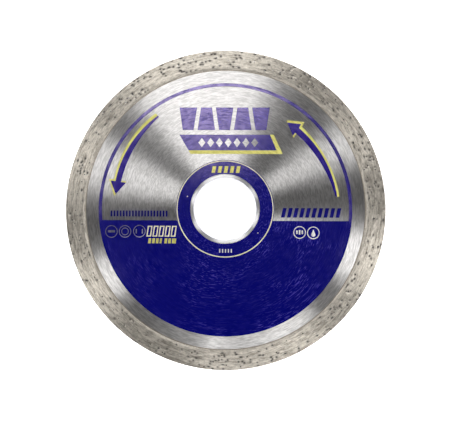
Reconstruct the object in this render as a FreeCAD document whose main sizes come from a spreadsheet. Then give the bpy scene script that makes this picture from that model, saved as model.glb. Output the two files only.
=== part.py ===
import FreeCAD, Part
import Sketcher
import math
import os
import random

# Continuous-rim diamond blade, 105 mm across, for a 20 mm spindle.
# The blade turns about the Y axis.  The printed face looks towards -Y, X is to
# the right and Z is up.  The origin is the centre of the bore, half way
# through the thickness.  Everything is in millimetres.

V = FreeCAD.Vector
doc = FreeCAD.newDocument("diamond_blade")

# ---------------------------------------------------------------- dimensions
sheet = doc.addObject("Spreadsheet::Sheet", "dims")
CELLS = [
    # steel core
    ("core_thick", 1.4), ("core_bore_d", 22.2), ("core_edge_radius", 45.75),
    ("core_break", 0.1), ("tongue_radius", 47.4), ("tongue_thick", 0.9),
    # reducing bush pressed into the core
    ("bush_bore_d", 20.0), ("bush_thick", 1.2), ("bush_chamfer", 0.3),
    # diamond-free base layer between the core and the rim
    ("bond_thick", 1.24), ("groove_radius", 47.55), ("groove_thick", 1.2),
    # sintered rim
    ("rim_outer_d", 105.0), ("rim_thick", 2.0), ("rim_inner_radius", 46.05),
    ("rim_step_thick", 1.44), ("rim_bevel_radius", 46.7), ("rim_corner", 0.15),
    # crystals standing in the rim
    ("grit_proud", 0.03), ("grit_deep", 0.35), ("grit_side_count", 110),
    ("grit_edge_count", 64),
    # printed ink
    ("ink_thick", 0.04), ("field_radius", 41.6), ("field_top", -3.87),
    ("band_inner_radius", 40.5), ("hub_ink_inner_radius", 11.45),
    ("hub_ink_outer_radius", 15.60), ("hub_line_outer_radius", 15.94),
    ("hub_key_outer_radius", 16.12),
    ("title_left", -15.2), ("title_low", 26.0), ("title_high", 33.5),
    ("title_wide", 5.8), ("title_narrow", 3.6), ("title_pitch", 6.0),
    ("badge_high", 24.47), ("badge_low", 19.27), ("badge_edge_low", 18.1),
    ("gem_pitch", 2.9), ("gem_count", 7),
    ("size_tick_wide", 0.5), ("size_tick_pitch", 1.01), ("size_tick_count", 19),
    ("size_low", -2.62), ("size_high", -0.68),
    ("kind_bar_wide", 1.22), ("kind_bar_pitch", 1.98), ("kind_bar_count", 10),
    ("kind_bar_slant", 0.7), ("kind_low", -2.76), ("kind_high", 0.34),
    ("speed_pitch", 1.99), ("speed_count", 5), ("speed_wide", 1.55),
    ("speed_slant", 0.45), ("speed_stroke", 0.36),
    ("speed_low", -9.21), ("speed_high", -5.65),
    ("note_low", -11.40), ("note_high", -9.78),
    ("icon_radius", 2.05), ("icon_stroke", 0.27), ("drop_radius", 0.68),
    ("hub_mark_wide", 1.15), ("hub_mark_pitch", 2.0), ("hub_mark_count", 5),
    ("hub_mark_low", 11.85), ("hub_mark_high", 14.05),
    ("hub_code_wide", 0.36), ("hub_code_pitch", 0.95), ("hub_code_count", 5),
    ("hub_code_low", -14.35), ("hub_code_high", -13.15), ("dot_radius", 0.21),
]
VALUE = {}
for row, (alias, number) in enumerate(CELLS, 1):
    sheet.set("A%d" % row, alias)
    sheet.set("B%d" % row, repr(number))
    sheet.setAlias("B%d" % row, alias)
    VALUE[alias] = float(number)
doc.recompute()


scratch = doc.addObject("App::FeaturePython", "scratch")
scratch.addProperty("App::PropertyFloat", "result")


def val(expr):
    """Number that an expression of sheet cells stands for."""
    scratch.setExpression("result", expr)
    scratch.recompute()
    return float(scratch.result)


def plane(body, role):
    for feature in body.Origin.OriginFeatures:
        if feature.Role == role:
            return feature
    raise RuntimeError("no plane " + role)


def new_body(name, many=False):
    body = doc.addObject("PartDesign::Body", name)
    body.Label = name
    if many:
        body.AllowCompound = True
    return body


def new_sketch(body, name, role, offset=None):
    """Sketch on one of the body's own origin planes.  On XZ_Plane the sketch
    looks towards -Y, so an offset moves it out of the printed face."""
    sk = body.newObject("Sketcher::SketchObject", name)
    sk.AttachmentSupport = [(plane(body, role), "")]
    sk.MapMode = "FlatFace"
    if offset:
        sk.setExpression("AttachmentOffset.Base.z", offset)
    return sk


def bound_polygon(sk, points):
    """Closed outline whose corners are expressions of the sheet."""
    xy = [(val(px), val(py)) for px, py in points]
    count = len(xy)
    ids = []
    for i in range(count):
        a, b = xy[i], xy[(i + 1) % count]
        ids.append(sk.addGeometry(Part.LineSegment(V(a[0], a[1], 0), V(b[0], b[1], 0)), False))
    for i in range(count):
        sk.addConstraint(Sketcher.Constraint("Coincident", ids[i], 2, ids[(i + 1) % count], 1))
    for i in range(count):
        for kind, which in (("DistanceX", 0), ("DistanceY", 1)):
            number = sk.addConstraint(Sketcher.Constraint(kind, -1, 1, ids[i], 1, xy[i][which]))
            sk.setExpression("Constraints[%d]" % number, points[i][which])
    return ids


def bound_circle(sk, cx, cy, radius):
    """Circle whose centre and radius are expressions of the sheet."""
    gid = sk.addGeometry(Part.Circle(V(val(cx), val(cy), 0), V(0, 0, 1), val(radius)), False)
    if cx == "0" and cy == "0":
        sk.addConstraint(Sketcher.Constraint("Coincident", gid, 3, -1, 1))
    else:
        for kind, expr in (("DistanceX", cx), ("DistanceY", cy)):
            number = sk.addConstraint(Sketcher.Constraint(kind, -1, 1, gid, 3, val(expr)))
            sk.setExpression("Constraints[%d]" % number, expr)
    number = sk.addConstraint(Sketcher.Constraint("Radius", gid, val(radius)))
    sk.setExpression("Constraints[%d]" % number, radius)
    return gid


def arc_through(p1, p2, p3):
    """Arc of a circle through three points, turned counter-clockwise."""
    (ax, ay), (bx, by), (cx, cy) = p1, p2, p3
    d = 2.0 * (ax * (by - cy) + bx * (cy - ay) + cx * (ay - by))
    ux = ((ax * ax + ay * ay) * (by - cy) + (bx * bx + by * by) * (cy - ay) + (cx * cx + cy * cy) * (ay - by)) / d
    uy = ((ax * ax + ay * ay) * (cx - bx) + (bx * bx + by * by) * (ax - cx) + (cx * cx + cy * cy) * (bx - ax)) / d
    radius = math.hypot(ax - ux, ay - uy)
    start, end = p1, p3
    if d < 0:
        start, end = p3, p1
    a0 = math.atan2(start[1] - uy, start[0] - ux)
    a1 = math.atan2(end[1] - uy, end[0] - ux)
    if a1 < a0:
        a1 += 2 * math.pi
    return Part.ArcOfCircle(Part.Circle(V(ux, uy, 0), V(0, 0, 1), radius), a0, a1)


def outline(sk, steps):
    """Closed outline of straight runs and arcs.  Each step is a point, or a
    pair (through, end) for an arc from the step before."""
    start = steps[0]
    here = start
    for step in list(steps[1:]) + [start]:
        if isinstance(step[0], tuple):
            through, end = step
            sk.addGeometry(arc_through(here, through, end), False)
            here = end
        else:
            if math.hypot(step[0] - here[0], step[1] - here[1]) > 1e-6:
                sk.addGeometry(Part.LineSegment(V(here[0], here[1], 0), V(step[0], step[1], 0)), False)
            here = step


def revolved(name, points):
    """Ring turned about the blade's axis; the outline is (radius, along Y)."""
    body = new_body(name)
    sk = new_sketch(body, name + "_section", "XY_Plane")
    bound_polygon(sk, points)
    turn = body.newObject("PartDesign::Revolution", name + "_turned")
    turn.Profile = sk
    turn.ReferenceAxis = (sk, ["V_Axis"])
    turn.Angle = 360.0
    sk.Visibility = False
    return body


FACE = "dims.core_thick / 2"
INK_TOP = "dims.core_thick / 2 + dims.ink_thick"


def deposit(body, sk, name):
    """Ink laid on the printed face: the sketch padded by the ink's thickness."""
    pad = body.newObject("PartDesign::Pad", name + "_laid")
    pad.Profile = sk
    pad.Length = VALUE["ink_thick"]
    pad.setExpression("Length", "dims.ink_thick")
    sk.Visibility = False
    return pad


def windows(body, sk, name):
    """Openings in the ink that leave the steel bare."""
    cut = body.newObject("PartDesign::Pocket", name + "_open")
    cut.Profile = sk
    cut.Length = VALUE["ink_thick"]
    cut.setExpression("Length", "dims.ink_thick")
    sk.Visibility = False
    return cut


def row_of(body, feature, sk, name, pitch, count):
    """Repeats a feature to the right at an even pitch."""
    pattern = body.newObject("PartDesign::LinearPattern", name + "_row")
    pattern.Originals = [feature]
    pattern.Direction = (sk, ["H_Axis"])
    pattern.Occurrences = int(round(val(count)))
    pattern.Length = val("%s * (%s - 1)" % (pitch, count))
    pattern.setExpression("Length", "%s * (%s - 1)" % (pitch, count))
    pattern.setExpression("Occurrences", count)
    body.Tip = pattern
    return pattern


# ---------------------------------------------------------------- steel core
# Flat ground disc.  Its edge is thinned to a tongue that the rim grips.
revolved("steel_core", [
    ("dims.core_bore_d / 2", "-dims.core_thick / 2 + dims.core_break"),
    ("dims.core_bore_d / 2 + dims.core_break", "-dims.core_thick / 2"),
    ("dims.core_edge_radius", "-dims.core_thick / 2"),
    ("dims.core_edge_radius", "-dims.tongue_thick / 2"),
    ("dims.tongue_radius", "-dims.tongue_thick / 2"),
    ("dims.tongue_radius", "dims.tongue_thick / 2"),
    ("dims.core_edge_radius", "dims.tongue_thick / 2"),
    ("dims.core_edge_radius", "dims.core_thick / 2"),
    ("dims.core_bore_d / 2 + dims.core_break", "dims.core_thick / 2"),
    ("dims.core_bore_d / 2", "dims.core_thick / 2 - dims.core_break"),
])

# ------------------------------------------------------------- reducing bush
# Thin turned ring, a little thinner than the core so that the flanges of the
# machine clamp on the core, with both mouths of its bore chamfered.
bush = new_body("reducing_bush")
sk = new_sketch(bush, "bush_ring", "XZ_Plane", "-dims.bush_thick / 2")
bound_circle(sk, "0", "0", "dims.core_bore_d / 2")
bound_circle(sk, "0", "0", "dims.bush_bore_d / 2")
bush_pad = bush.newObject("PartDesign::Pad", "bush_blank")
bush_pad.Profile = sk
bush_pad.Length = VALUE["bush_thick"]
bush_pad.setExpression("Length", "dims.bush_thick")
sk.Visibility = False
doc.recompute()
mouths = []
for i, edge in enumerate(bush_pad.Shape.Edges, 1):
    curve = edge.Curve
    if hasattr(curve, "Radius") and abs(curve.Radius - VALUE["bush_bore_d"] / 2) < 1e-6:
        mouths.append("Edge%d" % i)
if len(mouths) != 2:
    raise RuntimeError("the bush should have two mouths")
mouth_chamfer = bush.newObject("PartDesign::Chamfer", "bush_mouths")
mouth_chamfer.Base = (bush_pad, mouths)
mouth_chamfer.Size = VALUE["bush_chamfer"]
mouth_chamfer.setExpression("Size", "dims.bush_chamfer")
bush.Tip = mouth_chamfer

# ---------------------------------------------------------------- bond layer
# Diamond-free bronze base layer: it wraps the core's tongue and shows as a
# narrow dark line on both faces.
revolved("bond_layer", [
    ("dims.core_edge_radius", "-dims.bond_thick / 2"),
    ("dims.rim_inner_radius", "-dims.bond_thick / 2"),
    ("dims.rim_inner_radius", "-dims.groove_thick / 2"),
    ("dims.groove_radius", "-dims.groove_thick / 2"),
    ("dims.groove_radius", "dims.groove_thick / 2"),
    ("dims.rim_inner_radius", "dims.groove_thick / 2"),
    ("dims.rim_inner_radius", "dims.bond_thick / 2"),
    ("dims.core_edge_radius", "dims.bond_thick / 2"),
    ("dims.core_edge_radius", "dims.tongue_thick / 2"),
    ("dims.tongue_radius", "dims.tongue_thick / 2"),
    ("dims.tongue_radius", "-dims.tongue_thick / 2"),
    ("dims.core_edge_radius", "-dims.tongue_thick / 2"),
])

# --------------------------------------------------------------- diamond rim
# Sintered ring with a groove for the tongue.  It stands proud of the core on
# both sides and its inner edge is bevelled down to the core.
rim_blank = revolved("rim_blank", [
    ("dims.rim_inner_radius", "-dims.groove_thick / 2"),
    ("dims.rim_inner_radius", "-dims.rim_step_thick / 2"),
    ("dims.rim_bevel_radius", "-dims.rim_thick / 2"),
    ("dims.rim_outer_d / 2 - dims.rim_corner", "-dims.rim_thick / 2"),
    ("dims.rim_outer_d / 2", "-dims.rim_thick / 2 + dims.rim_corner"),
    ("dims.rim_outer_d / 2", "dims.rim_thick / 2 - dims.rim_corner"),
    ("dims.rim_outer_d / 2 - dims.rim_corner", "dims.rim_thick / 2"),
    ("dims.rim_bevel_radius", "dims.rim_thick / 2"),
    ("dims.rim_inner_radius", "dims.rim_step_thick / 2"),
    ("dims.rim_inner_radius", "dims.groove_thick / 2"),
    ("dims.groove_radius", "dims.groove_thick / 2"),
    ("dims.groove_radius", "-dims.groove_thick / 2"),
])

# Diamond crystals.  Each is a small faceted block, long along the direction of
# travel, half sunk in the rim and a few hundredths proud of it.
rng = random.Random(20)


def crystal(centre, along, across, out, length, width, deep, proud):
    corners = []
    for turn in range(6):
        angle = math.radians(60 * turn + rng.uniform(-13, 13))
        corners.append(centre + along * (length / 2 * math.cos(angle))
                       + across * (width / 2 * math.sin(angle)) + out * proud)
    face = Part.Face(Part.makePolygon(corners + [corners[0]]))
    return face.extrude(out * -(deep + proud))


def scatter(count, radial_low, radial_high, gap):
    """Angle and radius of crystals that keep a gap between each other."""
    placed = []
    while len(placed) < count:
        angle = rng.uniform(0, 2 * math.pi)
        radius = math.sqrt(rng.uniform(radial_low ** 2, radial_high ** 2))
        x, z = radius * math.cos(angle), radius * math.sin(angle)
        if all(math.hypot(x - px, z - pz) > gap for _, _, px, pz in placed):
            placed.append((angle, radius, x, z))
    return placed


rim_outer = VALUE["rim_outer_d"] / 2
half_rim = VALUE["rim_thick"] / 2
crystals = []
for side in (-1, 1):
    for angle, radius, x, z in scatter(int(VALUE["grit_side_count"]), VALUE["rim_bevel_radius"] + 0.45,
                                       rim_outer - 0.55, 1.05):
        radial = V(math.cos(angle), 0, math.sin(angle))
        along = V(-math.sin(angle), 0, math.cos(angle))
        crystals.append(crystal(V(x, side * half_rim, z), along, radial, V(0, side, 0),
                                rng.uniform(0.34, 0.66), rng.uniform(0.24, 0.42),
                                VALUE["grit_deep"], VALUE["grit_proud"]))
edge_count = int(VALUE["grit_edge_count"])
for i in range(edge_count):
    angle = 2 * math.pi * (i + rng.uniform(-0.25, 0.25)) / edge_count
    radial = V(math.cos(angle), 0, math.sin(angle))
    along = V(-math.sin(angle), 0, math.cos(angle))
    centre = radial * rim_outer + V(0, rng.uniform(-0.32, 0.32), 0)
    crystals.append(crystal(centre, along, V(0, 1, 0), radial, rng.uniform(0.36, 0.6),
                            rng.uniform(0.26, 0.42), VALUE["grit_deep"], VALUE["grit_proud"]))
grit = doc.addObject("Part::Feature", "diamond_grit")
grit.Label = "diamond_grit"
grit.Shape = Part.makeCompound(crystals)
grit.Placement = FreeCAD.Placement()

rim = doc.addObject("Part::Cut", "diamond_rim")
rim.Label = "diamond_rim"
rim.Base = rim_blank
rim.Tool = grit

# --------------------------------------------------------------- printed ink
# Three screen-printed inks lie side by side on the ground steel: blue, yellow
# and cream.  Pale marks inside the blue are openings with bare steel in them.

# Yellow notes under the speed row, left of the hub.
body = new_body("ink_yellow_speed_note", many=True)
sk = new_sketch(body, "speed_note", "XZ_Plane", FACE)
low, high = VALUE["note_low"], VALUE["note_high"]
for left, wide in ((-25.2, 0.88), (-23.95, 0.88), (-22.7, 0.88), (-21.45, 0.66),
                   (-19.9, 0.88), (-18.65, 0.88), (-17.4, 1.3)):
    outline(sk, [(left, low), (left + wide, low), (left + wide + 0.2, high), (left + 0.2, high)])
deposit(body, sk, "speed_note")

# Cream frames of the speed row.
body = new_body("ink_cream_speed_row", many=True)
sk = new_sketch(body, "speed_frame", "XZ_Plane", FACE)
left = "(-25.75)"
for inset in ("0", "dims.speed_stroke"):
    bound_polygon(sk, [
        ("%s + %s * 1.05" % (left, inset), "dims.speed_low + %s" % inset),
        ("%s + dims.speed_wide - %s * 1.05" % (left, inset), "dims.speed_low + %s" % inset),
        ("%s + dims.speed_wide + dims.speed_slant - %s * 1.05" % (left, inset), "dims.speed_high - %s" % inset),
        ("%s + dims.speed_slant + %s * 1.05" % (left, inset), "dims.speed_high - %s" % inset),
    ])
frame_pad = deposit(body, sk, "speed_frame")
row_of(body, frame_pad, sk, "speed_frame", "dims.speed_pitch", "dims.speed_count")

# Lower blue field, under the hub and out to the band.
field_body = new_body("blue_field_blank", many=True)
sk = new_sketch(field_body, "field_outline", "XZ_Plane", FACE)
top, r_out, r_in = VALUE["field_top"], VALUE["field_radius"], VALUE["hub_key_outer_radius"]
xo, xi = math.sqrt(r_out ** 2 - top ** 2), math.sqrt(r_in ** 2 - top ** 2)
g_out = sk.addGeometry(Part.ArcOfCircle(Part.Circle(V(0, 0, 0), V(0, 0, 1), r_out),
                                        math.pi + math.asin(-top / r_out), 2 * math.pi - math.asin(-top / r_out)), False)
g_in = sk.addGeometry(Part.ArcOfCircle(Part.Circle(V(0, 0, 0), V(0, 0, 1), r_in),
                                       math.pi + math.asin(-top / r_in), 2 * math.pi - math.asin(-top / r_in)), False)
g_left = sk.addGeometry(Part.LineSegment(V(-xo, top, 0), V(-xi, top, 0)), False)
g_right = sk.addGeometry(Part.LineSegment(V(xi, top, 0), V(xo, top, 0)), False)
for gid, expr in ((g_out, "dims.field_radius"), (g_in, "dims.hub_key_outer_radius")):
    sk.addConstraint(Sketcher.Constraint("Coincident", gid, 3, -1, 1))
    number = sk.addConstraint(Sketcher.Constraint("Radius", gid, val(expr)))
    sk.setExpression("Constraints[%d]" % number, expr)
sk.addConstraint(Sketcher.Constraint("Coincident", g_out, 1, g_left, 1))
sk.addConstraint(Sketcher.Constraint("Coincident", g_left, 2, g_in, 1))
sk.addConstraint(Sketcher.Constraint("Coincident", g_in, 2, g_right, 1))
sk.addConstraint(Sketcher.Constraint("Coincident", g_right, 2, g_out, 2))
sk.addConstraint(Sketcher.Constraint("Horizontal", g_left))
sk.addConstraint(Sketcher.Constraint("Horizontal", g_right))
for gid in (g_left, g_right):
    number = sk.addConstraint(Sketcher.Constraint("DistanceY", -1, 1, gid, 1, top))
    sk.setExpression("Constraints[%d]" % number, "dims.field_top")
deposit(field_body, sk, "field")

# Openings: five ring-shaped symbols, each with a plain mark inside.
sk = new_sketch(field_body, "field_windows", "XZ_Plane", INK_TOP)
ICONS = ((-37.28, -7.59), (-32.80, -7.55), (-28.09, -7.46), (24.43, -7.63), (28.90, -7.74))
for cx, cz in ICONS:
    bound_circle(sk, "(%s)" % cx, "(%s)" % cz, "dims.icon_radius")
    bound_circle(sk, "(%s)" % cx, "(%s)" % cz, "dims.icon_radius - dims.icon_stroke")


def bar(sk, cx, cz, wide, tall):
    outline(sk, [(cx - wide / 2, cz - tall / 2), (cx + wide / 2, cz - tall / 2),
                 (cx + wide / 2, cz + tall / 2), (cx - wide / 2, cz + tall / 2)])


bar(sk, ICONS[0][0], ICONS[0][1] + 0.05, 2.35, 0.75)
for ring_radius in (1.25, 0.98):
    sk.addGeometry(Part.Circle(V(ICONS[1][0], ICONS[1][1], 0), V(0, 0, 1), ring_radius), False)
bar(sk, ICONS[2][0] - 1.0, ICONS[2][1], 0.42, 1.5)
bar(sk, ICONS[2][0] + 1.0, ICONS[2][1], 0.42, 1.5)
for shift, tall in ((-0.88, 1.15), (0.0, 1.45), (0.88, 1.15)):
    bar(sk, ICONS[3][0] + shift, ICONS[3][1] + 0.05, 0.50, tall)
# drop: a round belly and two straight sides that meet in a point
cx, cz, r = ICONS[4][0], ICONS[4][1] - 0.62, VALUE["drop_radius"]
reach = 1.77
lean = math.acos(r / reach)
p_right = (cx + r * math.sin(lean), cz + r * math.cos(lean))
p_left = (cx - r * math.sin(lean), cz + r * math.cos(lean))
outline(sk, [(cx, cz + reach), p_left, ((cx, cz - r), p_right)])
field_cut = windows(field_body, sk, "field_windows")
doc.recompute()

speed_marks = doc.addObject("Part::Compound", "speed_marks")
speed_marks.Links = [doc.getObject("ink_cream_speed_row"), doc.getObject("ink_yellow_speed_note")]
blue_field = doc.addObject("Part::Cut", "ink_blue_field")
blue_field.Label = "ink_blue_field"
blue_field.Base = field_body
blue_field.Tool = speed_marks

# Blue band over the top of the blade; it runs into the field at both ends.
band_body = new_body("ink_blue_band")
sk = new_sketch(band_body, "band_outline", "XZ_Plane", FACE)
r_band = VALUE["band_inner_radius"]
a_out, a_in = math.asin(top / r_out), math.asin(top / r_band)
g_out = sk.addGeometry(Part.ArcOfCircle(Part.Circle(V(0, 0, 0), V(0, 0, 1), r_out), a_out, math.pi - a_out), False)
g_in = sk.addGeometry(Part.ArcOfCircle(Part.Circle(V(0, 0, 0), V(0, 0, 1), r_band), a_in, math.pi - a_in), False)
x_out, x_in = math.sqrt(r_out ** 2 - top ** 2), math.sqrt(r_band ** 2 - top ** 2)
g_right = sk.addGeometry(Part.LineSegment(V(x_in, top, 0), V(x_out, top, 0)), False)
g_left = sk.addGeometry(Part.LineSegment(V(-x_out, top, 0), V(-x_in, top, 0)), False)
for gid, expr in ((g_out, "dims.field_radius"), (g_in, "dims.band_inner_radius")):
    sk.addConstraint(Sketcher.Constraint("Coincident", gid, 3, -1, 1))
    number = sk.addConstraint(Sketcher.Constraint("Radius", gid, val(expr)))
    sk.setExpression("Constraints[%d]" % number, expr)
sk.addConstraint(Sketcher.Constraint("Coincident", g_right, 1, g_in, 1))
sk.addConstraint(Sketcher.Constraint("Coincident", g_right, 2, g_out, 1))
sk.addConstraint(Sketcher.Constraint("Coincident", g_left, 1, g_out, 2))
sk.addConstraint(Sketcher.Constraint("Coincident", g_left, 2, g_in, 2))
sk.addConstraint(Sketcher.Constraint("Horizontal", g_left))
sk.addConstraint(Sketcher.Constraint("Horizontal", g_right))
for gid in (g_left, g_right):
    number = sk.addConstraint(Sketcher.Constraint("DistanceY", -1, 1, gid, 1, top))
    sk.setExpression("Constraints[%d]" % number, "dims.field_top")
deposit(band_body, sk, "band")

# Cream line round the hub.
body = new_body("ink_cream_hub_line")
sk = new_sketch(body, "hub_line", "XZ_Plane", FACE)
bound_circle(sk, "0", "0", "dims.hub_ink_outer_radius")
bound_circle(sk, "0", "0", "dims.hub_line_outer_radius")
deposit(body, sk, "hub_line")

# Yellow row of five marks above the bore.
body = new_body("ink_yellow_hub_row", many=True)
sk = new_sketch(body, "hub_mark", "XZ_Plane", FACE)
left = "(0.07 - dims.hub_mark_pitch * (dims.hub_mark_count - 1) / 2 - dims.hub_mark_wide / 2)"
bound_polygon(sk, [
    (left, "dims.hub_mark_low"),
    (left + " + dims.hub_mark_wide", "dims.hub_mark_low"),
    (left + " + dims.hub_mark_wide + 0.4", "dims.hub_mark_high"),
    (left + " + 0.4", "dims.hub_mark_high"),
])
mark_pad = deposit(body, sk, "hub_mark")
row_of(body, mark_pad, sk, "hub_mark", "dims.hub_mark_pitch", "dims.hub_mark_count")

# Blue ring round the bore, with the thin blue key outside the cream line.
hub_body = new_body("blue_hub_blank", many=True)
sk = new_sketch(hub_body, "hub_ring", "XZ_Plane", FACE)
for name in ("hub_ink_inner_radius", "hub_ink_outer_radius", "hub_line_outer_radius", "hub_key_outer_radius"):
    bound_circle(sk, "0", "0", "dims." + name)
deposit(hub_body, sk, "hub_ring")
sk = new_sketch(hub_body, "hub_dots", "XZ_Plane", INK_TOP)
bound_circle(sk, "(-12.38)", "4.03", "dims.dot_radius")
bound_circle(sk, "10.80", "(-7.85)", "dims.dot_radius")
windows(hub_body, sk, "hub_dots")
sk = new_sketch(hub_body, "hub_code", "XZ_Plane", INK_TOP)
left = "(0.25 - dims.hub_code_pitch * (dims.hub_code_count - 1) / 2 - dims.hub_code_wide / 2)"
bound_polygon(sk, [
    (left, "dims.hub_code_low"),
    (left + " + dims.hub_code_wide", "dims.hub_code_low"),
    (left + " + dims.hub_code_wide", "dims.hub_code_high"),
    (left, "dims.hub_code_high"),
])
code_cut = windows(hub_body, sk, "hub_code")
row_of(hub_body, code_cut, sk, "hub_code", "dims.hub_code_pitch", "dims.hub_code_count")
doc.recompute()
hub_ring = doc.addObject("Part::Cut", "ink_blue_hub_ring")
hub_ring.Label = "ink_blue_hub_ring"
hub_ring.Base = hub_body
hub_ring.Tool = doc.getObject("ink_yellow_hub_row")

# Blue title row: five bold keystones, wide and narrow end up by turns.
body = new_body("ink_blue_title_row", many=True)
sk = new_sketch(body, "title_wide_up", "XZ_Plane", FACE)
mid = "(dims.title_left + dims.title_wide / 2)"
bound_polygon(sk, [
    (mid + " - dims.title_narrow / 2", "dims.title_low"),
    (mid + " + dims.title_narrow / 2", "dims.title_low"),
    (mid + " + dims.title_wide / 2", "dims.title_high"),
    (mid + " - dims.title_wide / 2", "dims.title_high"),
])
wide_up = deposit(body, sk, "title_wide_up")
row_of(body, wide_up, sk, "title_wide_up", "(dims.title_pitch * 2)", "3")
sk = new_sketch(body, "title_wide_down", "XZ_Plane", FACE)
mid = "(dims.title_left + dims.title_wide / 2 + dims.title_pitch)"
bound_polygon(sk, [
    (mid + " - dims.title_wide / 2", "dims.title_low"),
    (mid + " + dims.title_wide / 2", "dims.title_low"),
    (mid + " + dims.title_narrow / 2", "dims.title_high"),
    (mid + " - dims.title_narrow / 2", "dims.title_high"),
])
wide_down = deposit(body, sk, "title_wide_down")
row_of(body, wide_down, sk, "title_wide_down", "(dims.title_pitch * 2)", "2")

# Blue badge: a leaning bar with a row of diamond-shaped openings.
body = new_body("ink_blue_badge", many=True)
sk = new_sketch(body, "badge_outline", "XZ_Plane", FACE)
bound_polygon(sk, [
    ("(-12.15)", "dims.badge_low"), ("16.89", "dims.badge_low"),
    ("14.67", "dims.badge_high"), ("(-15.17)", "dims.badge_high"),
])
deposit(body, sk, "badge")
sk = new_sketch(body, "badge_gem", "XZ_Plane", INK_TOP)
mid = "(0.95 - dims.gem_pitch * (dims.gem_count - 1) / 2)"
bound_polygon(sk, [
    (mid, "20.3"), (mid + " + 1.15", "21.85"), (mid, "23.4"), (mid + " - 1.15", "21.85"),
])
gem_cut = windows(body, sk, "badge_gem")
row_of(body, gem_cut, sk, "badge_gem", "dims.gem_pitch", "dims.gem_count")

# Yellow edge under and beside the badge.
body = new_body("ink_yellow_badge_edge")
sk = new_sketch(body, "badge_edge", "XZ_Plane", FACE)
bound_polygon(sk, [
    ("(-12.15)", "dims.badge_low"), ("16.89", "dims.badge_low"),
    ("14.67", "dims.badge_high"), ("15.88", "dims.badge_high"),
    ("18.9", "dims.badge_edge_low"), ("(-11.48)", "dims.badge_edge_low"),
])
deposit(body, sk, "badge_edge")

# Blue tick row, left, above the field.
body = new_body("ink_blue_tick_row", many=True)
sk = new_sketch(body, "tick", "XZ_Plane", FACE)
bound_polygon(sk, [
    ("(-37.6)", "dims.size_low"), ("(-37.6) + dims.size_tick_wide", "dims.size_low"),
    ("(-37.6) + dims.size_tick_wide", "dims.size_high"), ("(-37.6)", "dims.size_high"),
])
tick_pad = deposit(body, sk, "tick")
row_of(body, tick_pad, sk, "tick", "dims.size_tick_pitch", "dims.size_tick_count")

# Blue row of leaning bars, right, above the field.
body = new_body("ink_blue_bar_row", many=True)
sk = new_sketch(body, "bar", "XZ_Plane", FACE)
bound_polygon(sk, [
    ("18.3", "dims.kind_low"), ("18.3 + dims.kind_bar_wide", "dims.kind_low"),
    ("18.3 + dims.kind_bar_wide + dims.kind_bar_slant", "dims.kind_high"),
    ("18.3 + dims.kind_bar_slant", "dims.kind_high"),
])
bar_pad = deposit(body, sk, "bar")
row_of(body, bar_pad, sk, "bar", "dims.kind_bar_pitch", "dims.kind_bar_count")

# Arrows for the direction of rotation, one each side, with yellow edges.
body = new_body("ink_blue_arrow_left")
sk = new_sketch(body, "arrow_left", "XZ_Plane", FACE)
outline(sk, [
    (-22.36, 30.76), ((-29.63, 23.64), (-36.14, 9.02)),
    (-37.80, 9.21), (-36.04, 4.70), (-32.72, 8.48),
    (-34.33, 8.73), ((-27.79, 23.64), (-21.99, 30.35)),
])
deposit(body, sk, "arrow_left")

body = new_body("ink_yellow_arrow_left", many=True)
sk = new_sketch(body, "arrow_left_edge", "XZ_Plane", FACE)
outline(sk, [
    (-23.12, 31.52), ((-30.74, 23.64), (-36.62, 9.72)),
    (-38.31, 9.72), (-36.55, 4.10), (-36.04, 4.70), (-37.80, 9.21),
    (-36.14, 9.02), ((-29.63, 23.64), (-22.36, 30.76)),
])
outline(sk, [(-34.24, 8.716), (-32.72, 8.48), (-32.62, 8.90), (-34.02, 9.18)])
deposit(body, sk, "arrow_left_edge")

body = new_body("ink_blue_arrow_right")
sk = new_sketch(body, "arrow_right", "XZ_Plane", FACE)
outline(sk, [
    (20.32, 28.50), (24.89, 28.00), (24.19, 26.71), ((31.56, 18.10), (36.66, 4.08)),
    (36.12, 4.30), ((29.37, 18.10), (23.38, 24.79)), (22.98, 25.15), (22.197, 24.205),
])
deposit(body, sk, "arrow_right")

body = new_body("ink_yellow_arrow_right", many=True)
sk = new_sketch(body, "arrow_right_edge", "XZ_Plane", FACE)
outline(sk, [
    (20.11, 29.27), (20.32, 28.50), (24.89, 28.00), (24.19, 26.71), ((31.56, 18.10), (36.66, 4.08)),
    (37.43, 4.20), ((32.35, 18.10), (25.20, 27.06)), (25.97, 28.67),
])
outline(sk, [(22.11, 24.10), (22.42, 23.48), (23.38, 24.79), (22.98, 25.15)])
deposit(body, sk, "arrow_right_edge")

# ------------------------------------------------------------- check, export
doc.recompute()

NODES = [
    "steel_core", "reducing_bush", "bond_layer", "diamond_rim", "diamond_grit",
    "ink_blue_field", "ink_blue_band", "ink_blue_hub_ring", "ink_cream_hub_line",
    "ink_yellow_hub_row", "ink_blue_title_row", "ink_blue_badge", "ink_yellow_badge_edge",
    "ink_blue_tick_row", "ink_blue_bar_row", "ink_blue_arrow_left", "ink_yellow_arrow_left",
    "ink_blue_arrow_right", "ink_yellow_arrow_right", "ink_cream_speed_row",
    "ink_yellow_speed_note",
]

for obj in doc.Objects:
    if "Invalid" in obj.State or "Error" in obj.State:
        raise RuntimeError("%s failed: %s" % (obj.Name, obj.State))

shapes = {}
for name in NODES:
    obj = doc.getObject(name)
    shape = obj.Shape
    if shape.isNull() or not shape.isValid() or not shape.Solids:
        raise RuntimeError(name + " has no valid solid")
    if abs(shape.Volume) < 1e-6:
        raise RuntimeError(name + " has no volume")
    shapes[name] = shape

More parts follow.
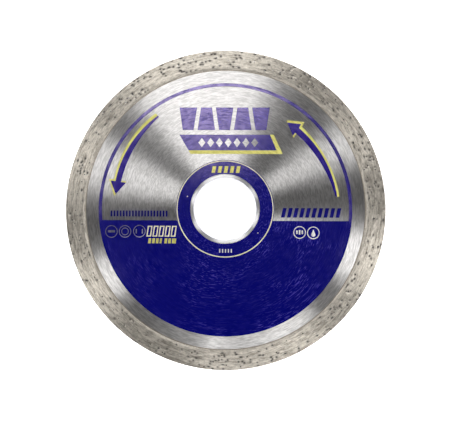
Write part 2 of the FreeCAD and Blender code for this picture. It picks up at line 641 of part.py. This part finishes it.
# every ink lies between the steel and the ink's own top plane
face_y, top_y = -VALUE["core_thick"] / 2, -VALUE["core_thick"] / 2 - VALUE["ink_thick"]
for name in NODES:
    box = shapes[name].BoundBox
    if name.startswith("ink_") and (abs(box.YMax - face_y) > 1e-4 or abs(box.YMin - top_y) > 1e-4):
        raise RuntimeError("%s is not on the printed face: %.4f to %.4f" % (name, box.YMin, box.YMax))

# the openings took ink away, and the rim gave room to its crystals
blank = rim_blank.Shape.Volume
print("rim blank %.2f, rim %.2f mm3" % (blank, shapes["diamond_rim"].Volume))
if not shapes["diamond_rim"].Volume < blank:
    raise RuntimeError("the rim has no seats for its crystals")
print("field before windows %.4f, after %.4f, last %.4f" % (
    doc.getObject("field_laid").Shape.Volume, field_cut.Shape.Volume, shapes["ink_blue_field"].Volume))
if not shapes["ink_blue_field"].Volume < field_cut.Shape.Volume < doc.getObject("field_laid").Shape.Volume:
    raise RuntimeError("the field's windows cut nothing")

os.makedirs("parts", exist_ok=True)
for name in NODES:
    shapes[name].exportStep("parts/%s.step" % name)
    box = shapes[name].BoundBox
    print("%-26s solids %3d  volume %10.4f  box %.2f %.3f %.2f .. %.2f %.3f %.2f" % (
        name, len(shapes[name].Solids), shapes[name].Volume,
        box.XMin, box.YMin, box.ZMin, box.XMax, box.YMax, box.ZMax))
print("nodes", len(NODES))
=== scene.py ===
"""Looks for the diamond blade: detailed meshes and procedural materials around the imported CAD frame.

The blade's axis is the Y axis, the printed face looks towards -Y, X is right and Z is up. Metres throughout.
"""

import math

import bpy
import numpy as np
from mathutils import Matrix, Vector


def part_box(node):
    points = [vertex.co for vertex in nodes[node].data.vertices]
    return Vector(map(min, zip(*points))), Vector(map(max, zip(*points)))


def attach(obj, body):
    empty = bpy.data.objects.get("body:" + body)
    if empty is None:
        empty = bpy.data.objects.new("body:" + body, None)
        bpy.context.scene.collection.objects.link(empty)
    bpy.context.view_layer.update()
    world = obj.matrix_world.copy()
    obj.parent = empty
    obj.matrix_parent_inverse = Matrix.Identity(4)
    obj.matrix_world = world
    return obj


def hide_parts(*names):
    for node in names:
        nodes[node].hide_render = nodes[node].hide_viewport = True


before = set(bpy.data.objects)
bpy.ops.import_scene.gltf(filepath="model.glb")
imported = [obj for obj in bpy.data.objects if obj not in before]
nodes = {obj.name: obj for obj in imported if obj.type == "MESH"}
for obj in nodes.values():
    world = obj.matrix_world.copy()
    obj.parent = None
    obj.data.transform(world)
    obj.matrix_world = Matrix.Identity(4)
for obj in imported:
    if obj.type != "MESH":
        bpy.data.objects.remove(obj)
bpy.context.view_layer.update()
scene = bpy.context.scene
MM = 0.001

# ------------------------------------------------------------------ measures read from the frame


def outer_radius(node):
    low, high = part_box(node)
    return max(high.x, -low.x)


core_low, core_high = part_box("steel_core")
rim_low, rim_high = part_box("diamond_rim")
FACE = core_low.y  # printed face of the core
BLADE_R = outer_radius("diamond_rim")
RIM_HALF = rim_high.y


# ------------------------------------------------------------------ node helper


class Graph:
    """One procedural material. Inputs take sockets, numbers or tuples alike."""

    def __init__(self, name):
        self.mat = bpy.data.materials.new(name)
        self.mat.use_nodes = True
        self.tree = self.mat.node_tree
        self.tree.nodes.clear()
        out = self.tree.nodes.new("ShaderNodeOutputMaterial")
        self.bsdf = self.tree.nodes.new("ShaderNodeBsdfPrincipled")
        self.tree.links.new(self.bsdf.outputs[0], out.inputs[0])
        co = self.tree.nodes.new("ShaderNodeTexCoord").outputs["Object"]
        self.co = self.vec("SCALE", co, scale=1000.0)
        self.x, self.y, self.z = self.split(self.co)
        flat = self.join(self.x, 0.0, self.z)
        self.r = self.vec("LENGTH", flat)
        self.radial = self.vec("NORMALIZE", flat)
        self.around = self.vec("CROSS_PRODUCT", (0.0, 1.0, 0.0), self.radial)
        self.ux, _, self.uz = self.split(self.radial)

    def put(self, socket, value):
        if isinstance(value, bpy.types.NodeSocket):
            self.tree.links.new(value, socket)
        elif isinstance(value, (tuple, list)):
            n = len(socket.default_value)
            socket.default_value = (tuple(value) + (1.0,))[:n]
        else:
            socket.default_value = value

    def set(self, **values):
        for key, value in values.items():
            self.put(self.bsdf.inputs[key.replace("_", " ")], value)
        return self

    def math(self, op, a, b=0.0, c=None, clamp=False):
        n = self.tree.nodes.new("ShaderNodeMath")
        n.operation = op
        n.use_clamp = clamp
        self.put(n.inputs[0], a)
        self.put(n.inputs[1], b)
        if c is not None:
            self.put(n.inputs[2], c)
        return n.outputs[0]

    def add(self, a, b):
        return self.math("ADD", a, b)

    def mul(self, a, b):
        return self.math("MULTIPLY", a, b)

    def vec(self, op, a, b=None, scale=None):
        n = self.tree.nodes.new("ShaderNodeVectorMath")
        n.operation = op
        self.put(n.inputs[0], a)
        if b is not None:
            self.put(n.inputs[1], b)
        if scale is not None:
            self.put(n.inputs["Scale"], scale)
        return n.outputs["Value" if op in ("LENGTH", "DOT_PRODUCT") else "Vector"]

    def split(self, v):
        n = self.tree.nodes.new("ShaderNodeSeparateXYZ")
        self.put(n.inputs[0], v)
        return n.outputs[0], n.outputs[1], n.outputs[2]

    def join(self, x, y, z):
        n = self.tree.nodes.new("ShaderNodeCombineXYZ")
        for socket, value in zip(n.inputs, (x, y, z)):
            self.put(socket, value)
        return n.outputs[0]

    def noise(self, v, detail=2.0, rough=0.5, scale=1.0):
        n = self.tree.nodes.new("ShaderNodeTexNoise")
        self.put(n.inputs["Vector"], v)
        n.inputs["Scale"].default_value = scale
        n.inputs["Detail"].default_value = detail
        n.inputs["Roughness"].default_value = rough
        return n.outputs[0]

    def cells(self, v, scale=1.0, feature="F1", spread=1.0):
        n = self.tree.nodes.new("ShaderNodeTexVoronoi")
        n.feature = feature
        self.put(n.inputs["Vector"], v)
        n.inputs["Scale"].default_value = scale
        n.inputs["Randomness"].default_value = spread
        return n.outputs["Distance"]

    def span(self, v, low, high, to_low=0.0, to_high=1.0, smooth=True):
        n = self.tree.nodes.new("ShaderNodeMapRange")
        n.interpolation_type = "SMOOTHSTEP" if smooth else "LINEAR"
        n.clamp = True
        self.put(n.inputs[0], v)
        for i, value in enumerate((low, high, to_low, to_high)):
            self.put(n.inputs[i + 1], value)
        return n.outputs[0]

    def mix(self, f, a, b):
        n = self.tree.nodes.new("ShaderNodeMix")
        n.data_type = "RGBA"
        n.clamp_factor = True
        self.put(n.inputs["Factor"], f)
        ins = [s for s in n.inputs if s.type == "RGBA"]
        self.put(ins[0], a)
        self.put(ins[1], b)
        return [s for s in n.outputs if s.type == "RGBA"][0]

    def bump(self, height, distance_mm, strength=1.0, normal=None):
        n = self.tree.nodes.new("ShaderNodeBump")
        n.inputs["Strength"].default_value = strength
        n.inputs["Distance"].default_value = distance_mm * MM
        self.put(n.inputs["Height"], height)
        if normal is not None:
            self.put(n.inputs["Normal"], normal)
        return n.outputs[0]

    def grind(self, across, along, seed=0.0, ref=34.0, detail=2.0, rough=0.5, warp=0.0):
        """Marks left by grinding in circles: cells 'across' mm wide in radius and 'along' mm long round the axis."""
        r = self.r
        if warp:
            slow = self.noise(self.join(self.mul(self.ux, 3.0), self.mul(self.uz, 3.0), seed + 9.0), detail=1.0)
            r = self.add(r, self.mul(self.math("SUBTRACT", slow, 0.5), warp))
        k = ref / along
        v = self.join(self.mul(r, 1.0 / across), self.mul(self.ux, k), self.mul(self.uz, k))
        return self.noise(self.vec("ADD", v, (seed * 7.3, seed * 3.1, seed * 5.7)), detail=detail, rough=rough)


# ------------------------------------------------------------------ ground steel and what is printed on it


def ground_tangent(g, jitter, seed=0.0):
    """The rough direction of circular grinding lies across the marks: out from the axis on a face, along the axis
    on a wall round it. Each streak leans a little its own way."""
    normal = g.tree.nodes.new("ShaderNodeNewGeometry").outputs["Normal"]
    across = g.vec("CROSS_PRODUCT", g.around, normal)
    lean = g.math("SUBTRACT", g.grind(0.50, 4.2, seed=21.0 + seed, detail=1.0), 0.5)
    side = g.vec("SCALE", g.around, scale=g.mul(lean, jitter))
    return g.vec("NORMALIZE", g.vec("ADD", across, side))


def ground_steel(name, base=(0.635, 0.622, 0.610), low=(0.405, 0.395, 0.385), rough=0.285, jitter=0.065):
    g = Graph(name)
    fine = g.grind(0.30, 1.8, seed=1.0, detail=2.0, rough=0.6)
    broad = g.grind(0.8, 4.0, seed=2.0, detail=2.0, warp=1.5)
    mark = g.span(g.add(g.mul(fine, 0.72), g.mul(broad, 0.28)), 0.36, 0.64)
    colour = g.mix(mark, low, base)
    g.set(
        Base_Color=colour,
        Metallic=1.0,
        Roughness=g.span(broad, 0.3, 0.7, rough - 0.008, rough + 0.010),
        Anisotropic=1.0,
        Tangent=ground_tangent(g, jitter),
        Normal=g.bump(g.add(fine, g.mul(broad, 0.6)), 0.004, 0.1),
    )
    return g.mat


def ink(name, body, sheen, ior=1.86, level=0.5, rough=0.145, aniso=0.2, wear_and_glint=None, wear_glint_amount=1.0):
    """Thin gloss ink over ground steel: it keeps the grinding marks, and catches a broad tinted highlight."""
    g = Graph(name)
    fine = g.grind(0.33, 2.2, seed=1.0, detail=2.0, rough=0.6)
    broad = g.grind(0.8, 4.5, seed=2.0, detail=3.0, rough=0.6, warp=1.2)
    mark = g.add(g.mul(fine, 0.65), g.mul(broad, 0.35))
    dark = tuple(c * 0.74 for c in body)
    colour = g.mix(g.span(mark, 0.38, 0.62), dark, body)
    if wear_and_glint is not None:
        # lighter lavender streaks, in loose patches and a few longer scratches and stronger towards +X: partly wear,
        # where the tops of the grinding marks show through the ink, and partly painted glints, light caught on the
        # scratches painted into the colour
        patch = g.span(g.noise(g.co, detail=2.0, rough=0.6, scale=0.07), 0.40, 0.62, 0.15, 1.0)
        thin = g.span(g.grind(0.32, 2.0, seed=6.0, detail=2.0, rough=0.6, warp=0.8), 0.53, 0.70)
        long = g.span(g.grind(0.26, 5.0, seed=7.0, detail=1.0, warp=2.0), 0.63, 0.74)
        side = g.span(g.x, -26.0, 6.0, 0.3, 1.0)
        wear_glint_mask = g.mul(g.math("MAXIMUM", g.mul(thin, 0.85), g.mul(long, 0.9)), g.mul(g.mul(patch, side), wear_glint_amount))
        colour = g.mix(wear_glint_mask, colour, wear_and_glint)
    g.set(
        Base_Color=colour,
        Roughness=g.span(mark, 0.3, 0.7, rough - 0.03, rough + 0.05),
        IOR=ior,
        Specular_IOR_Level=g.mul(g.span(mark, 0.40, 0.60, 0.44, 1.42), level),
        Specular_Tint=sheen,
        Anisotropic=aniso,
        Tangent=ground_tangent(g, 0.5, seed=3.0),
        Normal=g.bump(g.add(fine, broad), 0.005, 0.7),
    )
    return g.mat


def bond_metal(name):
    g = Graph(name)
    grain = g.noise(g.co, detail=4.0, rough=0.65, scale=5.0)
    colour = g.mix(g.span(grain, 0.35, 0.7), (0.235, 0.205, 0.160), (0.45, 0.395, 0.325))
    g.set(Base_Color=colour, Metallic=0.5, Roughness=0.45, Normal=g.bump(grain, 0.02, 0.5))
    return g.mat


def sintered(name):
    """Sintered metal powder, ground in circles: warm grey, streaked, with pits where powder or crystal has left,
    painted near-black inside as painted shade.
    """
    g = Graph(name)
    fine = g.grind(0.30, 2.2, seed=31.0, ref=49.0, detail=4.0, rough=0.7)
    broad = g.grind(0.75, 5.0, seed=32.0, ref=49.0, detail=3.0, rough=0.6, warp=1.0)
    mottle = g.noise(g.co, detail=5.0, rough=0.75, scale=1.4)
    tone = g.add(g.mul(fine, 0.5), g.add(g.mul(broad, 0.3), g.mul(mottle, 0.2)))
    colour = g.mix(g.span(tone, 0.38, 0.62), (0.28, 0.253, 0.212), (0.725, 0.674, 0.588))
    pit = g.tree.nodes.new("ShaderNodeAttribute")
    pit.attribute_name = "pit"
    depth = pit.outputs["Fac"]
    # light streaks on the rim: partly real scuffs, partly painted glints, light caught by the ground metal painted
    # into the colour
    scuff_and_glint = g.span(g.grind(0.5, 1.2, seed=36.0, ref=49.0, detail=2.0, rough=0.6), 0.68, 0.76, 0.0, 0.7)
    colour = g.mix(scuff_and_glint, colour, (0.88, 0.84, 0.76))
    wall = g.tree.nodes.new("ShaderNodeNewGeometry").outputs["Normal"]
    wall = g.span(g.math("ABSOLUTE", g.split(wall)[1]), 0.15, 0.6, 1.0, 0.0)
    wall = g.mul(wall, g.span(g.r, 51.9, 52.2))
    colour = g.mix(g.mul(wall, 0.62), colour, (0.12, 0.108, 0.088))
    # painted shade: the pits are painted near-black and lose their metal, standing for the shade inside them
    colour = g.mix(depth, colour, (0.028, 0.024, 0.020))
    # the bevel is left as sintered, so it is duller than the ground faces
    bevel = g.span(g.r, 46.66, 46.86, 1.0, 0.0)
    colour = g.mix(g.mul(bevel, 0.12), colour, (0.725, 0.674, 0.588))
    g.set(
        Base_Color=colour,
        Metallic=g.mul(g.span(depth, 0.0, 0.6, 0.86, 0.0), g.span(bevel, 0.0, 1.0, 1.0, 0.82)),
        Roughness=g.add(g.span(fine, 0.3, 0.7, 0.30, 0.42), g.mul(bevel, 0.17)),
        Anisotropic=0.9,
        Tangent=ground_tangent(g, 0.5, seed=5.0),
        Normal=g.bump(g.add(fine, g.mul(mottle, 0.5)), 0.014, 0.8),
    )
    return g.mat


def crystal(name):
    g = Graph(name)
    tone = g.noise(g.co, detail=2.0, scale=0.9)
    colour = g.mix(g.span(tone, 0.35, 0.65), (0.012, 0.011, 0.010), (0.075, 0.066, 0.048))
    g.set(Base_Color=colour, Roughness=0.24, IOR=2.3, Specular_IOR_Level=0.55)
    return g.mat


def turned_steel(name):
    g = Graph(name)
    fine = g.grind(0.22, 6.0, seed=41.0, ref=10.5, detail=1.0)
    colour = g.mix(g.span(fine, 0.3, 0.7), (0.64, 0.635, 0.635), (0.76, 0.755, 0.76))
    g.set(
        # painted highlight: inside r 10.3 mm, on the bore wall, the colour turns near-white and barely metallic,
        # standing for the bright light seen on the steel wall
        Base_Color=g.mix(g.span(g.r, 10.28, 10.36), (0.86, 0.86, 0.90), colour),
        Metallic=g.span(g.r, 10.28, 10.36, 0.25, 1.0),
        Roughness=g.span(g.r, 10.28, 10.36, 0.6, 0.34),
        Anisotropic=g.span(g.r, 10.28, 10.36),
        Tangent=ground_tangent(g, 0.0, seed=8.0),
    )
    return g.mat


BLUE = (0.0006, 0.0020, 0.184)
BLUE_SHEEN = (0.77, 0.625, 0.97)
YELLOW = (0.75, 0.70, 0.185)

looks = {
    "steel_core": ground_steel("steel_ground_in_circles"),
    "reducing_bush": turned_steel("steel_turned"),
    "bond_layer": bond_metal("bronze_bond"),
    "diamond_grit": crystal("diamond_dark"),
}
# the last colour given to these inks is the streak colour: wear and painted glints together
blue = ink("ink_blue", BLUE, BLUE_SHEEN, wear_and_glint=(0.068, 0.056, 0.42))
deep_blue = ink("ink_blue_deep", BLUE, BLUE_SHEEN, level=0.445, wear_and_glint=(0.068, 0.056, 0.42))
thin_blue = ink("ink_blue_thin", (0.008, 0.003, 0.200), (0.78, 0.66, 0.95), level=0.76, rough=0.22, wear_and_glint=(0.045, 0.025, 0.38), wear_glint_amount=0.7)
arrow_blue = ink("ink_blue_arrow", (0.013, 0.003, 0.225), BLUE_SHEEN, level=0.42, rough=0.20, wear_and_glint=(0.045, 0.025, 0.38), wear_glint_amount=0.5)
yellow = ink("ink_yellow", YELLOW, (1.0, 0.97, 0.80), ior=1.5, level=0.5, rough=0.5)
yellow_small = ink("ink_yellow_small", tuple(c * 0.74 for c in YELLOW), (1.0, 0.97, 0.80), ior=1.5, level=0.4, rough=0.5)
cream = ink("ink_cream", (0.80, 0.75, 0.54), (1.0, 0.98, 0.92), ior=1.5, level=0.5, rough=0.5)
for name in nodes:
    if name == "ink_blue_band":
        looks[name] = thin_blue
    elif name in ("ink_blue_hub_ring", "ink_blue_badge"):
        looks[name] = deep_blue
    elif name == "ink_yellow_speed_note":
        looks[name] = yellow_small
    elif name.startswith("ink_blue_arrow"):
        looks[name] = arrow_blue
    elif name.startswith("ink_blue"):
        looks[name] = blue
    elif name.startswith("ink_yellow"):
        looks[name] = yellow
    elif name.startswith("ink_cream"):
        looks[name] = cream

for name, node in nodes.items():
    if name in looks:
        node.data.materials.clear()
        node.data.materials.append(looks[name])

# ------------------------------------------------------------------ the rim: ground, streaked and pitted


def cut_profile(points, steps):
    """Points along a closed outline, each side cut into its own number of steps; the last side closes it."""
    out = []
    for (a, b), n in zip(zip(points, points[1:] + points[:1]), steps):
        for i in range(n):
            t = i / n
            out.append((a[0] + (b[0] - a[0]) * t, a[1] + (b[1] - a[1]) * t))
    return np.array(out)


def value_noise(u, v, seed, nu):
    """Smooth noise on a grid that closes on itself in u, whose period is nu cells."""
    rng = np.random.default_rng(seed)
    table = rng.random((nu, 512))
    iu, iv = np.floor(u).astype(int), np.floor(v).astype(int)
    fu, fv = u - iu, v - iv
    fu, fv = fu * fu * (3 - 2 * fu), fv * fv * (3 - 2 * fv)
    a = table[iu % nu, iv % 512]
    b = table[(iu + 1) % nu, iv % 512]
    c = table[iu % nu, (iv + 1) % 512]
    d = table[(iu + 1) % nu, (iv + 1) % 512]
    return (a * (1 - fu) + b * fu) * (1 - fv) + (c * (1 - fu) + d * fu) * fv


def build_rim():
    r_out, half = BLADE_R / MM - 0.035, RIM_HALF / MM
    inner, bevel, step = 46.05, 46.7, 0.72
    groove_r, groove_half = 47.55, 0.60
    corner = 0.15
    outline = [
        (inner, -step),
        (bevel, -half),
        (r_out - corner, -half),
        (r_out, -half + corner),
        (r_out, half - corner),
        (r_out - corner, half),
        (bevel, half),
        (inner, step),
        (inner, groove_half),
        (groove_r, groove_half),
        (groove_r, -groove_half),
        (inner, -groove_half),
    ]
    steps = [3, 26, 1, 7, 1, 21, 3, 1, 2, 1, 2, 1]
    prof = cut_profile(outline, steps)
    n_prof, n_turn = len(prof), 1440
    turn = np.arange(n_turn) * (2 * math.pi / n_turn)
    R = np.repeat(prof[None, :, 0], n_turn, 0)
    Y = np.repeat(prof[None, :, 1], n_turn, 0)
    A = np.repeat(turn[:, None], n_prof, 1)
    outside = np.zeros(n_prof, bool)
    outside[0 : sum(steps[:7]) + 1] = True
    side = np.zeros(n_prof)  # where along the outside skin a point lies, in mm
    for i in range(1, n_prof):
        side[i] = side[i - 1] + np.hypot(*(prof[i] - prof[i - 1]))
    S = np.repeat(side[None, :], n_turn, 0)
    # grinding leaves long shallow ridges
    streak = value_noise(A / (2 * math.pi) * 150, S / 0.30, 11, 150) - 0.5
    streak += 0.6 * (value_noise(A / (2 * math.pi) * 420, S / 0.22, 12, 420) - 0.5)
    dent = 0.010 + 0.016 * (streak + 0.5)
    # pits: short, longer round the axis than across it, in loose groups
    rng = np.random.default_rng(20)
    pit = np.zeros_like(R)
    for low, high, count in ((0.9, side[sum(steps[:2])] - 0.25, 310), (side[sum(steps[:3])], side[sum(steps[:4])], 70),
                             (side[sum(steps[:5])] + 0.25, side[sum(steps[:6])] - 0.3, 300)):
        where = []
        while len(where) < count:
            a0, s0 = rng.random() * 2 * math.pi, low + rng.random() * (high - low)
            for _ in range(rng.integers(1, 4)):
                where.append((a0 + rng.normal() * 0.036, min(max(s0 + rng.normal() * 0.95, low), high)))
        for a0, s0 in where[:count]:
            length, width = 0.27 + 0.24 * rng.random() ** 2, 0.18 + 0.12 * rng.random()
            strength = 0.6 + 0.4 * rng.random()
            j0 = int(a0 / (2 * math.pi) * n_turn)
            js = np.arange(j0 - 6, j0 + 8) % n_turn
            ps = np.where(outside & (np.abs(side - s0) < 0.9))[0]
            if not len(ps):
                continue
            grid = np.ix_(js, ps)
            da = (A[grid] - a0 + math.pi) % (2 * math.pi) - math.pi
            d2 = (da * R[grid] / length) ** 2 + ((S[grid] - s0) / width) ** 2
            pit[grid] = np.maximum(pit[grid], strength * np.exp(-d2 * 0.9))
    pit[:, ~outside] = 0.0
    # the outside skin moves in, along its own normal, so it never leaves the envelope
    depth = (dent + 0.10 * pit) * outside[None, :]
    nxt, prv = np.roll(prof, -1, 0), np.roll(prof, 1, 0)
    t = nxt - prv
    t /= np.linalg.norm(t, axis=1)[:, None]
    normal = np.stack([t[:, 1], -t[:, 0]], 1)
    if normal[5, 1] > 0:
        normal = -normal
    R = R - depth * normal[None, :, 0]
    Y = Y - depth * normal[None, :, 1]
    co = np.stack([R * np.cos(A), Y, R * np.sin(A)], 2).reshape(-1, 3) * MM
    j, p = np.meshgrid(np.arange(n_turn), np.arange(n_prof), indexing="ij")
    a = j * n_prof + p
    b = ((j + 1) % n_turn) * n_prof + p
    c = ((j + 1) % n_turn) * n_prof + (p + 1) % n_prof
    d = j * n_prof + (p + 1) % n_prof
    faces = np.stack([a, b, c, d], 2).reshape(-1, 4)
    mesh = bpy.data.meshes.new("rim_ground")
    mesh.from_pydata(co.tolist(), [], faces.tolist())
    mesh.update()
    # the pit marks are also kept for the material, which paints shade into the pits from them
    mark = mesh.attributes.new("pit", "FLOAT", "POINT")
    mark.data.foreach_set("value", np.clip(pit * 1.7, 0, 1).astype(np.float32).ravel())
    mesh.polygons.foreach_set("use_smooth", [True] * len(mesh.polygons))
    mesh.update()
    made = bpy.data.objects.new("rim_ground", mesh)
    scene.collection.objects.link(made)
    # faces look outwards
    poly = mesh.polygons[10]
    if poly.normal.y > 0 and poly.center.y < 0:
        mesh.flip_normals()
    mesh.set_sharp_from_angle(angle=math.radians(35))
    return made


rim = build_rim()
rim.data.materials.append(sintered("sintered_matrix"))
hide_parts("diamond_rim")
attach(rim, "root")

# ------------------------------------------------------------------ camera


def set_camera():
    """A short portrait lens square to the printed face, a touch low and right of the axis."""
    data = bpy.data.cameras.new("camera")
    data.sensor_width = 36.0
    data.lens = 54.6
    data.clip_start, data.clip_end = 0.01, 20.0
    cam = bpy.data.objects.new("camera", data)
    scene.collection.objects.link(cam)
    distance, azimuth, elevation = 0.2293, math.radians(1.746), math.radians(-3.12)
    face = Vector((0.0, FACE, 0.0))
    back = Vector((
        math.sin(azimuth) * math.cos(elevation),
        -math.cos(azimuth) * math.cos(elevation),
        math.sin(elevation),
    ))
    cam.location = face + back * distance
    yaw, pitch, roll = math.radians(1.29), math.radians(2.535), math.radians(0.3)
    aim = Vector((-math.sin(yaw) * math.cos(pitch), math.cos(yaw) * math.cos(pitch), math.sin(pitch)))
    turn = aim.to_track_quat("-Z", "Y").to_matrix().to_4x4()
    cam.matrix_world = Matrix.Translation(cam.location) @ turn @ Matrix.Rotation(roll, 4, "Z")
    scene.camera = cam


set_camera()

# ------------------------------------------------------------------ studio


def glow(name, strength, colour=(1.0, 1.0, 1.0)):
    mat = bpy.data.materials.new(name)
    mat.use_nodes = True
    bsdf = mat.node_tree.nodes["Principled BSDF"]
    bsdf.inputs["Base Color"].default_value = (*colour, 1.0)
    bsdf.inputs["Roughness"].default_value = 0.9
    bsdf.inputs["Specular IOR Level"].default_value = 0.0
    bsdf.inputs["Emission Color"].default_value = (*colour, 1.0)
    bsdf.inputs["Emission Strength"].default_value = strength
    return mat


def panel(name, clock, half, near, far, strength, distance=0.60, colour=(1.0, 1.0, 1.0), behind=False):
    """A softbox shaped like a slice of a ring round the blade's axis. clock is its middle as seen on the printed
    face, counter-clockwise from +X, and half its half width; near and far are how far it stands off the axis.
    All in degrees."""
    wide, deep = 14, 8
    points, faces = [], []
    for i in range(deep + 1):
        t = math.radians(near + (far - near) * i / deep)
        for j in range(wide + 1):
            a = math.radians(clock - half + 2.0 * half * j / wide)
            y = math.cos(t) * (1.0 if behind else -1.0)
            points.append((distance * math.sin(t) * math.cos(a), distance * y, distance * math.sin(t) * math.sin(a)))
    row = wide + 1
    for i in range(deep):
        for j in range(wide):
            k = i * row + j
            faces.append((k, k + 1, k + 1 + row, k + row))
    mesh = bpy.data.meshes.new(name)
    mesh.from_pydata(points, [], faces)
    mesh.update()
    lamp = bpy.data.objects.new(name, mesh)
    scene.collection.objects.link(lamp)
    mesh.materials.append(glow(name, strength, colour))
    lamp.visible_camera = False
    lamp.visible_shadow = False
    return lamp


panel("key_above", 102.7, 25.1, 9.3, 32.0, 3.75)
panel("fill_below_right", 298.0, 13.0, 26.0, 38.0, 6.4)
panel("fill_below", 277.5, 7.5, 26.0, 38.0, 2.4)
panel("fill_below_left", 263.2, 4.8, 34.0, 50.0, 9.8)
panel("strip_left", 203.8, 8.6, 20.0, 42.0, 4.5)
panel("strip_right", 345.6, 11.2, 18.0, 42.0, 4.7)
panel("strip_right_high", 34.5, 8.0, 20.0, 42.0, 2.6)
panel("strip_left_high", 156.5, 10.0, 20.0, 42.0, 2.6)
panel("back_above", 81.0, 27.0, 8.0, 32.0, 4.8, behind=True)
panel("back_below", 262.0, 24.0, 20.0, 34.0, 3.2, behind=True)
panel("back_left", 200.0, 9.0, 20.0, 42.0, 6.0, behind=True)
panel("back_right", 334.0, 9.0, 20.0, 42.0, 6.0, behind=True)


def studio_air(face_on, around):
    """Dim straight in front of and behind the blade, pale all round it, as between black flags in a light tent."""
    world = bpy.data.worlds.new("studio")
    world.use_nodes = True
    tree = world.node_tree
    back = tree.nodes["Background"]
    where = tree.nodes.new("ShaderNodeTexCoord")
    split = tree.nodes.new("ShaderNodeSeparateXYZ")
    size = tree.nodes.new("ShaderNodeMath")
    size.operation = "ABSOLUTE"
    ease = tree.nodes.new("ShaderNodeMapRange")
    ease.interpolation_type = "SMOOTHSTEP"
    tree.links.new(where.outputs["Generated"], split.inputs[0])
    tree.links.new(split.outputs[1], size.inputs[0])
    tree.links.new(size.outputs[0], ease.inputs[0])
    for i, value in enumerate((math.cos(math.radians(66)), math.cos(math.radians(48)), around, face_on)):
        ease.inputs[i + 1].default_value = value
    tree.links.new(ease.outputs[0], back.inputs[1])
    back.inputs[0].default_value = (0.985, 0.98, 1.0, 1.0)
    scene.world = world


studio_air(0.012, 2.0)


def backdrop():
    """A big pale shell around everything, seen only by the camera."""
    import bmesh

    mesh = bpy.data.meshes.new("backdrop")
    bm = bmesh.new()
    bmesh.ops.create_icosphere(bm, subdivisions=4, radius=3.0)
    bm.to_mesh(mesh)
    bm.free()
    shell = bpy.data.objects.new("backdrop", mesh)
    scene.collection.objects.link(shell)
    mesh.materials.append(glow("backdrop_white", 1.2))
    shell.visible_diffuse = shell.visible_glossy = shell.visible_transmission = False
    shell.visible_volume_scatter = shell.visible_shadow = False
    floor_mesh = bpy.data.meshes.new("floor")
    z, s = rim_low.z - 0.00002, 2.6
    floor_mesh.from_pydata([(-s, -s, z), (s, -s, z), (s, s, z), (-s, s, z)], [], [(0, 1, 2, 3)])
    floor_mesh.update()
    floor = bpy.data.objects.new("floor", floor_mesh)
    scene.collection.objects.link(floor)
    floor_mesh.materials.append(glow("floor_white", 1.1))
    floor.visible_glossy = False
    floor.visible_diffuse = False


backdrop()
scene.view_settings.view_transform = "Standard"
scene.view_settings.look = "None"
